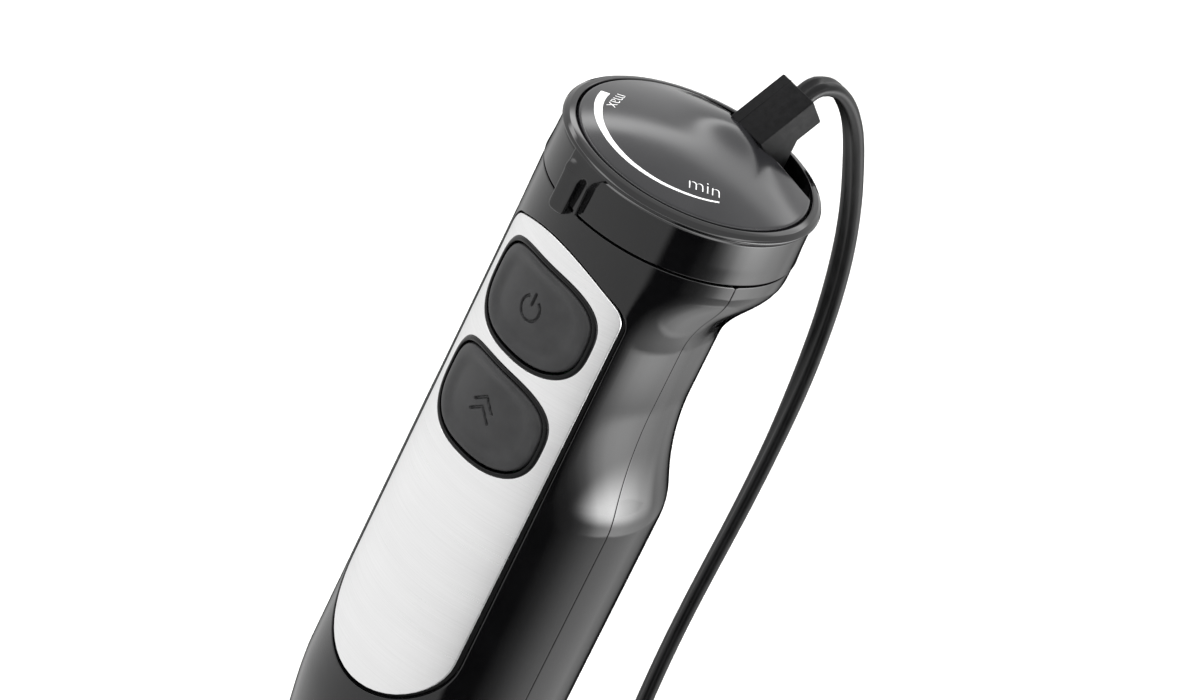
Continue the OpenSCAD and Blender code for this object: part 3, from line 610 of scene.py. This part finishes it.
def panelOutline(g=0):
    # closed outline of the steel panel, x across and depth down: a shallow arch between two rounded corners
    w, top, tip, bow, corner = 21.8, 21.9, 157, 0.016, 6.4
    side = w - corner / 2
    level = top + bow * side * side + corner * math.sin(math.radians(60))
    arch = [(x, -(top - g + bow * x * x)) for x in np.linspace(side - 0.6, 0.6 - side, 24)]
    up = (arcOf(0, 20 - tip, w + g, 20 + g, 180, 360, 24) + arcOf(w - corner, -level, corner + g, corner + g, 0, 60, 8)
          + arch + arcOf(corner - w, -level, corner + g, corner + g, 120, 180, 8))
    return [(x, -y) for x, y in up]


def superellipse(w, h, cy, n=120, p=2.9):
    turns = [2 * math.pi * (i + 0.5) / n for i in range(n)]
    return [(w * math.copysign(abs(math.cos(t)) ** (2 / p), math.cos(t)),
             cy + h * math.copysign(abs(math.sin(t)) ** (2 / p), math.sin(t))) for t in turns]


buttonLook = {"width": 18.6, "height": 13.8, "on": 42.0, "turbo": 72.4, "gasket": 1.15, "groove": 0.5, "dish": 1.1,
              "engraving": 0.75, "line": 0.42}
bezelLook = {"top": 0.35, "side": 1.15}


def bezelOutline(share):
    # the trim widens from the arch down the sides
    base, wide = panelOutline(), panelOutline(1)
    out = []
    for (x0, y0), (x1, y1) in zip(base, wide):
        g = share * (bezelLook["top"] + (bezelLook["side"] - bezelLook["top"]) * ramp(24, 38, y0))
        out.append((x0 + (x1 - x0) * g, y0 + (y1 - y0) * g))
    return resample(out, 0.9)


halfRound = math.radians(gripLook["partingAngle"]) * gripLook["front"]
fullRound = 2 * math.pi * gripLook["front"]
seam, bottom = gripLook["seam"], unitH


def squareLoop(u0, u1, v0, v1, pitch):
    return resample(rounded([(u0, v0, 0.4), (u1, v0, 0.4), (u1, v1, 0.4), (u0, v1, 0.4)], 3), pitch)


def releaseHole(side):
    # the round hole for a release button, laid on the grip's flank
    out = []
    for i in range(48):
        t = 2 * math.pi * i / 48
        y, depth = 5.95 * math.cos(t), rimH - 203 + 5.95 * math.sin(t)
        angle = 90.0
        for _ in range(4):
            angle = 90 + math.degrees(math.asin(y / gripRadius(angle, depth)))
        out.append((gripLook["front"] * math.radians(angle if side > 0 else 360 - angle), depth))
    return out


frontHousing = sheet("frontHousing", squareLoop(-halfRound, halfRound, seam, bottom, 1.1),
                     [resample(wrapped(bezelOutline(1)), 0.9)],
                     onGrip, gripLook["wall"], edge=gripLook["edge"], pitch=gripLook["pitch"])
dress(frontHousing, "motor_unit", "gloss_black", glossBlack, "front_shell")
rearHousing = sheet("rearHousing", squareLoop(halfRound + 0.06, fullRound - halfRound - 0.06, seam, bottom, 1.1),
                    [releaseHole(1), releaseHole(-1)], onGrip, gripLook["wall"], edge=gripLook["edge"],
                    pitch=gripLook["pitch"])
dress(rearHousing, "motor_unit", "gloss_black", glossBlack, "rear_shell")
print("grip shells built")

panelHoles = [superellipse(buttonLook["width"] + 0.05, buttonLook["height"] + 0.05, buttonLook[key]) for key in ("on",
                                                                                                                 "turbo")]
steelPanel = sheet("steelPanel", resample(panelOutline(-0.05), 0.9), panelHoles, onFront, 0.8, edge=0.22, pitch=1.5,
                   support=0.2)
dress(steelPanel, "motor_unit", "steel_sheet", brushedPanel, "steel_panel")


def raisedFront(height):
    return lambda x, depth, inset: onFront(x, depth, inset - height)


panelTrim = sheet("panelTrim", bezelOutline(0.97), [bezelOutline(0.06)], raisedFront(-1.5), 0.7, edge=0.12, pitch=3,
                  support=0.03)
dress(panelTrim, "motor_unit", "bezel_trim", trimShadeBlack, "panel_bezel")


def makeGasket(name, key, node):
    w, h, cy = buttonLook["width"], buttonLook["height"], buttonLook[key]
    g = buttonLook["gasket"]
    ring = sheet(name, superellipse(w, h, cy), [superellipse(w - g, h - g, cy)], lambda x, depth,
                 inset: onPress(x, depth, inset - 0.3), 2.4, edge=0.5, pitch=3,
                 support=0.03)
    return dress(ring, "motor_unit", "gasket_rubber", gasketRubber, node)


makeGasket("onGasket", "on", "on_gasket")
makeGasket("turboGasket", "turbo", "turbo_gasket")


def strokeDistance(x, y, strokes):
    # distance to the nearest of the symbol's lines and arcs
    best = 9.0
    for kind, *s in strokes:
        if kind == "line":
            (x0, y0), (x1, y1) = s
            dx, dy = x1 - x0, y1 - y0
            t = min(1, max(0, ((x - x0) * dx + (y - y0) * dy) / (dx * dx + dy * dy)))
            best = min(best, math.hypot(x - x0 - t * dx, y - y0 - t * dy))
        else:
            radius, gap = s
            if abs(math.degrees(math.atan2(x, y))) > gap:
                best = min(best, abs(math.hypot(x, y) - radius))
    return best


onSymbol = [("arc", 3.2, 32), ("line", (0, 0.9), (0, 4.1))]  # plain standby mark
turboSymbol = [("line", (-3.4, -2.6 + s), (0, 0.4 + s)) for s in (0, 3)] + [("line", (0, 0.4 + s),
                                                                             (3.4, -2.6 + s)) for s in (0, 3)]


def makeKey(name, key, node, body, strokes):
    look = buttonLook
    w = look["width"] - look["gasket"] - look["groove"]
    h = look["height"] - look["gasket"] - look["groove"]
    cy = look[key]

    def place(x, depth, inset):
        # raised shoulder round a shallow finger dish, with the mark pressed in
        rho = (abs(x / w) ** 2.9 + abs((depth - cy) / h) ** 2.9) ** (1 / 2.9)
        dish = look["dish"] * (1 - ramp(0.68, 0.9, rho))
        mark = 0.0
        if inset == 0 and rho < 0.7:
            mark = look["engraving"] * (1 - ramp(look["line"] * 0.5, look["line"] * 1.1,
                                                 strokeDistance(x, cy - depth, strokes)))
        return onPress(x, depth, inset + dish + mark - 0.25)

    key = sheet(name, superellipse(w, h, cy, 140), [], place, 1.9, edge=0.9, pitch=0.9, fine=(0, cy, 4.6, 4.8, 0.17),
                sharp=60)
    return dress(key, body, "key_rubber", softRubber, node)


makeKey("onKey", "on", "on_button", "on_key", onSymbol)
makeKey("turboKey", "turbo", "turbo_button", "turbo_key", turboSymbol)
print("panel and keys built")


ringProfile = rounded([(30.9, 1.0, 0.3), (31.15, 1.85, 0.35), (32.7, 1.5, 0.6), (33.6, 0.85, 0.5), (34.0, 0.3, 0.5),
                       (33.9, -0.2, 0.2), (33.1, -0.45, 0.15), (32.7, -0.85, 0.2), (33.1, -1.4, 0.3), (33.25, -8, 0),
                       (33.55, -12.7, 0.35),
                       (30.9, -12.7, 0.2), (30.9, -9.4, 0), (29.6, -9.4, 0.2), (29.6, -7.9, 0.2), (30.9, -7.9, 0)], 5)
speedRing = lathe("speedRing", [(r, rimH + z) for r, z in ringProfile], 240)
dress(speedRing, "speed_dial", "gloss_black", glossBlack, "speed_ring")

pointerLook = {"radius": 33.9, "tab": 2.5, "wallStand": 1.2}
pointerOutline = [(-10.4, -0.6, 0.2), (-8.6, 0.6, 1.6), (-7.0, 2.4, 1.8), (-6.5, 4.9, 1.2), (-6.5, 15.5, 1.6),
                  (-1.7, 15.5, 1.4),
                  (-1.5, 5.6, 0.5), (-1.0, 4.0, 0.7), (-0.1, 3.3, 0.6), (0.8, 4.0, 0.6), (0.9, 5.6, 0.2),
                  (0.95, 12.8, 0.15),
                  (1.6, 12.8, 0.2), (1.7, 5.2, 1), (2.5, 2.6, 1.6), (4.2, 0.8, 1.8), (6.2, -0.6, 0.2)]


def onPointer(s, depth, inset):
    look = pointerLook
    a = s / look["radius"]
    lip = 1 - 0.45 * ramp(-6.6, -1.5, s)  # the tab is highest along its outer side
    stand = ramp(-0.6, 4, depth) * (look["tab"] * lip * (1 - ramp(-1.9, 0.8, s)) + look["wallStand"] * ramp(-1.9, 0.8,
                                                                                                            s))
    sink = 1 - ramp(-10.4, -8.0, s) + ramp(4.4, 6.2, s)  # its two ends dive into the ring
    r = look["radius"] - 0.05 + stand - inset - sink
    return (r * math.sin(a), -r * math.cos(a), rimH - depth)


ringPointer = sheet("ringPointer", resample(rounded(pointerOutline, 4), 0.35), [], onPointer, 3.0, edge=0.7, pitch=0.6,
                    support=0.15, sharp=50)
dress(ringPointer, "speed_dial", "gloss_black", glossBlack)

domeLook = {"radius": 30.45, "edge": 2.0, "rise": 4.6, "hump": 2.6, "humpAt": (-2.4, 14.8), "humpWidth": (13, 9)}


def domeHeight(x, y):
    look = domeLook
    r = math.hypot(x, y) / look["radius"]
    hx, hy = look["humpWidth"]
    hump = look["hump"] * math.exp(-((x - look["humpAt"][0]) / hx) ** 2 - ((y - look["humpAt"][1]) / hy) ** 2)
    return look["edge"] + look["rise"] * (1 - r * r) + hump * (1 - ramp(0.8, 1.0, r))


def onDome(x, y, inset):
    return (x, y, rimH + domeHeight(x, y) - inset)


domeOutline = [(*p, 0) for p in arcOf(0, 0, domeLook["radius"], domeLook["radius"], 134, 406, 140)]
domeOutline += [(16.5, 20.8, 5), (9, 18.4, 4), (6.8, 15.2, 2), (0, 14.7, 8), (-6.8, 15.2, 2), (-9, 18.4, 4),
                (-16.5, 20.8, 5)]
topDome = sheet("topDome", resample(rounded(domeOutline, 5), 0.8), [], onDome, 2.2, edge=0.55, pitch=1.3)
dress(topDome, "motor_unit", "gloss_black", domeGrey, "top_dome")


def makeScale():
    # crescent that thins from the strong end of the scale to the weak one
    marks = [(-67, 27.9, 2.3), (-45, 27.0, 2.0), (-21, 26.4, 1.55), (7, 26.1, 1.1), (27, 25.6, 0.8), (50, 24.6, 0.5),
             (62, 24.0, 0.4)]
    rings = []
    for a in np.arange(-67, 62.1, 1.5):
        outer = float(np.interp(a, [m[0] for m in marks], [m[1] for m in marks]))
        width = float(np.interp(a, [m[0] for m in marks], [m[2] for m in marks]))
        t = math.radians(a)
        ring = []
        for r, lift in ((outer, 0.05), (outer - width / 2, 0.06), (outer - width, 0.05), (outer - width, -0.1),
                        (outer, -0.1)):
            x, y = r * math.sin(t), -r * math.cos(t)
            ring.append((x, y, rimH + domeHeight(x, y) + lift))
        rings.append(ring)
    return dress(makePiece("speedScale", *loft(rings), sharp=30), "motor_unit", "gloss_black", padPrint)


def makeWord(name, word, angle, radius, size):
    # thin plain letters laid on the dome, their tops towards its middle
    text = bpy.data.curves.new(name, "FONT")
    text.body, text.size, text.align_x, text.align_y = word, size, "CENTER", "CENTER"
    text.extrude, text.offset = 0.05, -0.022 * size
    holder = bpy.data.objects.new(name + "Source", text)
    scene.collection.objects.link(holder)
    bpy.context.view_layer.update()
    mesh = bpy.data.meshes.new_from_object(holder.evaluated_get(bpy.context.evaluated_depsgraph_get()))
    bpy.data.objects.remove(holder)
    mesh.name = name
    t = math.radians(angle)
    for vertex in mesh.vertices:
        u, v, w = vertex.co
        x = u * math.cos(t) - v * math.sin(t) + radius * math.sin(t)
        y = u * math.sin(t) + v * math.cos(t) - radius * math.cos(t)
        vertex.co = Vector((x, y, rimH + domeHeight(x, y) + w)) * mm
    piece = bpy.data.objects.new(name, mesh)
    scene.collection.objects.link(piece)
    return dress(piece, "motor_unit", "gloss_black", padPrint)


makeScale()
makeWord("scaleLowWord", "min", 52.5, 20.2, 6.0)
makeWord("scaleHighWord", "max", -61, 22.6, 5.2)

bootLook = {"half": 6.0, "profile": [(14, 8), (26, 20), (32.5, 13.5), (27.2, 8.2), (27.2, -6), (19, -6), (19, 3)]}


def makeBoot(look):
    side = [(y, rimH + z) for y, z in look["profile"]]
    body = block("cordBoot", side, -look["half"], look["half"], bevel=0.45, segments=3)
    ridge = [(14.4, 8.25), (25.9, 19.75), (26.12, 20.13), (13.9, 8.05)]
    line = block("bootParting", [(y, rimH + z) for y, z in ridge], -3.2, -2.9, bevel=0.04, segments=1)
    return dress(joined("cordBoot", [body, line]), "motor_unit", "boot_rubber", bootPvc, "cord_boot")


makeBoot(bootLook)
print("head built")


footLook = {"tube": 20.0, "bell": 32.0, "bellTop": 46.0, "arch": (9, 7)}


def makeFoot(look):
    tube = rounded([(18.8, 170, 0), (20.0, 170, 0), (20.0, 150, 3), (19.3, 105, 0), (18.4, 60, 3), (18.4, 46, 0),
                    (17.2, 46, 0),
                    (17.2, 60, 3), (18.8, 150, 3)], 5)
    tube = resample(tube, 3.0)
    dress(lathe("footTube", tube, 160), "foot", "foot_steel", turnedSteel, "foot_tube")
    rings, segments = [], 480
    for i in range(segments):
        a = 2 * math.pi * i / segments
        quarter = (math.degrees(a) + 45) % 90 - 45
        s = math.radians(quarter) * look["bell"]
        low = look["arch"][1] * math.sqrt(max(0, 1 - (s / look["arch"][0]) ** 2))
        ring = []
        for wall, order in ((0, range(41)), (1.4, range(40, -1, -1))):
            for k in order:
                t = k / 40
                z = low + (look["bellTop"] - low) * t
                if k == 0:
                    z += 0.15 if wall else 0.0
                flare = smooth((z - 12) / 34)
                r = look["bell"] - (look["bell"] - look["tube"] + 1.6) * flare - wall
                ring.append((r * math.sin(a + math.pi / 4), -r * math.cos(a + math.pi / 4), z))
        rings.append(ring)
    dress(makePiece("bellGuard", *loft(rings, closed=True), sharp=40), "foot", "foot_steel", turnedSteel, "bell_guard")


makeFoot(footLook)


def makeRelease(name, side, node, body):
    # domed round button with a shallow dish, turned about X
    low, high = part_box(node)
    reach = max(abs(low.x), abs(high.x)) / mm
    middle = (low.z + high.z) / 2 / mm
    profile = [(0, reach - 0.5)] + [(r, reach - 0.5 + 0.5 * ramp(0, 4.4, r)) for r in np.linspace(0.6, 4.6, 8)]
    profile += [(5.2, reach - 0.12), (5.55, reach - 0.5), (5.7, reach - 1.2), (5.7, 23.3), (5.4, 23.2), (0, 23.2)]
    rings = []
    for i in range(72):
        a = 2 * math.pi * i / 72
        rings.append([(side * x, r * math.cos(a), middle + r * math.sin(a)) for r, x in profile])
    cap = makePiece(name + "Cap", *loft(rings, closed=True))
    stem = [(0, 18.4), (1.8, 18.4), (2, 18.6), (2, 23.4), (0, 23.4)]
    rings = []
    for i in range(32):
        a = 2 * math.pi * i / 32
        rings.append([(side * x, r * math.cos(a), middle + r * math.sin(a)) for r, x in stem])
    pin = makePiece(name + "Pin", *loft(rings, closed=True))
    dress(joined(name, [cap, pin]), body, "key_rubber", softRubber, node)


makeRelease("leftRelease", -1, "release_left", "left_release")
makeRelease("rightRelease", 1, "release_right", "right_release")
print("foot built")


studio = {"world": 1.0, "floor": "#f4f4f3", "floorSize": 6.0,
          "key": {"at": (-0.9, -0.5, 1.6), "size": (1.2, 0.9), "watts": 16, "towards": (0, 0, 0.3)},
          "top": {"at": (0.3, 0.7, 1.7), "size": (1.0, 0.7), "watts": 14, "towards": (0, 0, 0.35)}}
# cards that only the gloss sees: reach and height of the near and the far edge, the soft share of those edges, and the
# brightness by azimuth, from the front towards +X
tone = {
    "dim": [(-80, 1.0), (0, 0.95), (30, 0.86), (44, 0.84), (50, 0)],
    "flank": [(166, 1.0), (175, 0.8), (196, 0), (232, 0), (250, 0.9), (280, 1.0)],
    "bright": [(73, 0), (80, 0.13), (88, 0.22), (96, 0.5), (104, 1.2), (112, 2.7), (120, 3.6), (128, 3.5), (136, 3.0),
               (144, 2.3), (152, 1.8), (160, 1.3)],
    "muted": [(76, 0), (84, 0.15), (92, 0.32), (100, 0.6), (110, 0.95), (120, 1.2), (130, 1.35), (150, 1.2),
              (162, 1.05)],
}
cards = [("floorFan", (0.06, 0.001), (2.4, 0.001), 0, tone["dim"] + tone["bright"] + tone["flank"]),
         ("middleFan", (0.36, 0.0015), (0.66, 0.0015), 0.2,
          tone["dim"] + tone["muted"] + [(168, 0.75), (192, 0)] + tone["flank"][3:]),
         ("nearFan", (0.05, 0.002), (0.42, 0.002), 0.2,
          tone["dim"] + [(73, 0), (88, 0.25), (104, 1.0), (120, 2.0), (140, 1.9), (160, 1.2)] + tone["flank"][1:]),
         ("hotCard", (0.62, 0.10), (0.62, 0.50), 0.42, [(84, 0), (92, 3), (101, 9), (110, 14), (122, 13.5), (134, 8),
                                                        (148, 3), (164, 0)]),
         ("rimCard", (1.0, 0.9), (1.0, 1.2), 0.4, [(-190, 0), (-165, 4.5), (130, 4.5), (155, 0)]),
         ("domeCard", (0.8, 0.8), (0.8, 1.15), 0.4, [(184, 0), (198, 2.1), (212, 2.1), (232, 0)])]


def softbox(name, look):
    data = bpy.data.lights.new(name, "AREA")
    data.shape, data.size, data.size_y, data.energy = "RECTANGLE", *look["size"], look["watts"]
    lamp = bpy.data.objects.new(name, data)
    lamp.visible_glossy = False  # the gloss sees the cards instead
    scene.collection.objects.link(lamp)
    away = Vector(look["at"]) - Vector(look["towards"])
    lamp.matrix_world = Matrix.LocRotScale(Vector(look["at"]), away.to_track_quat("Z", "Y"), None)


def studioCard(name, near, far, softness, curve):
    across, up = 90, 8
    start, span = curve[0][0], curve[-1][0] - curve[0][0]
    mesh = bpy.data.meshes.new(name)
    spots = []
    for i in range(across + 1):
        a = math.radians(start + span * i / across)
        for j in range(up + 1):
            reach, height = (near[k] + (far[k] - near[k]) * j / up for k in (0, 1))
            spots.append((reach * math.sin(a), -reach * math.cos(a), height))
    faces = [(i * (up + 1) + j, (i + 1) * (up + 1) + j, (i + 1) * (up + 1) + j + 1, i * (up + 1) + j + 1)
             for i in range(across) for j in range(up)]
    mesh.from_pydata(spots, [], faces)
    uv = mesh.uv_layers.new(name="spread")
    for loop in mesh.loops:
        i, j = divmod(loop.vertex_index, up + 1)
        uv.data[loop.index].uv = (i / across, j / up)
    card = bpy.data.objects.new(name, mesh)
    scene.collection.objects.link(card)
    for kind in ("visible_camera", "visible_diffuse", "visible_transmission", "visible_shadow",
                 "visible_volume_scatter"):
        setattr(card, kind, False)
    material = bpy.data.materials.new("Card " + name)
    material.use_nodes = True
    tree = material.node_tree
    tree.nodes.clear()
    spread = addNode(tree, "ShaderNodeSeparateXYZ",
                     links={0: addNode(tree, "ShaderNodeUVMap", {"uv_map": "spread"}).outputs[0]})
    peak = max(level for _, level in curve)
    levels = addNode(tree, "ShaderNodeValToRGB", links={0: spread.outputs[0]})
    stops = levels.color_ramp.elements
    for k, (azimuth, level) in enumerate(curve):
        place = (azimuth - start) / span
        stop = stops[0] if k == 0 else stops[-1] if k == len(curve) - 1 else stops.new(place)
        stop.position, stop.color = place, (level / peak,) * 3 + (1,)
    glow = addNode(tree, "ShaderNodeEmission", {"Strength": peak}, {0: levels.outputs[0]})
    far = addNode(tree, "ShaderNodeMath", {"operation": "SUBTRACT", 0: 1.0}, {1: spread.outputs[1]})
    edge = addNode(tree, "ShaderNodeMath", {"operation": "MINIMUM"}, {0: spread.outputs[1], 1: far.outputs[0]})
    fade = addNode(tree, "ShaderNodeMapRange", {"interpolation_type": "SMOOTHSTEP", 1: 0.0, 2: max(softness, 0.001)},
                   {0: edge.outputs[0]})
    if near[1] > 0.01:  # a standing card also fades out at its sides, where its curve reaches nothing
        fade = addNode(tree, "ShaderNodeMath", {"operation": "MULTIPLY"}, {0: fade.outputs[0], 1: levels.outputs[0]})
        glow = addNode(tree, "ShaderNodeEmission", {"Strength": peak})
    clear = addNode(tree, "ShaderNodeBsdfTransparent")
    both = addNode(tree, "ShaderNodeMixShader", links={0: fade.outputs[0], 1: clear.outputs[0], 2: glow.outputs[0]})
    addNode(tree, "ShaderNodeOutputMaterial", links={0: both.outputs[0]})
    mesh.materials.append(material)


def makeStudio(look):
    world = bpy.data.worlds.new("studioWorld")
    world.use_nodes = True
    world.node_tree.nodes["Background"].inputs[0].default_value = (1, 1, 1, 1)
    world.node_tree.nodes["Background"].inputs[1].default_value = look["world"]
    scene.world = world
    half = look["floorSize"] / 2
    mesh = bpy.data.meshes.new("studioFloor")
    mesh.from_pydata([(-half, -half, -0.0002), (half, -half, -0.0002), (half, half, -0.0002), (-half, half, -0.0002)],
                     [], [(0, 1, 2, 3)])
    floor = bpy.data.objects.new("studioFloor", mesh)
    scene.collection.objects.link(floor)
    paper = finishOf("Paper seamless pale", {"dark": look["floor"], "light": "#fbfbfa", "rough": (0.8, 0.9), "grain": 3,
                     "patch": 400, "bump": 0.01, "ior": 1.5, "sockets": {"Specular IOR Level": 0.1}})
    mesh.materials.append(paper)
    softbox("keyLight", look["key"])
    softbox("topLight", look["top"])
    for card in cards:
        studioCard(*card)


makeStudio(studio)
print("studio set")
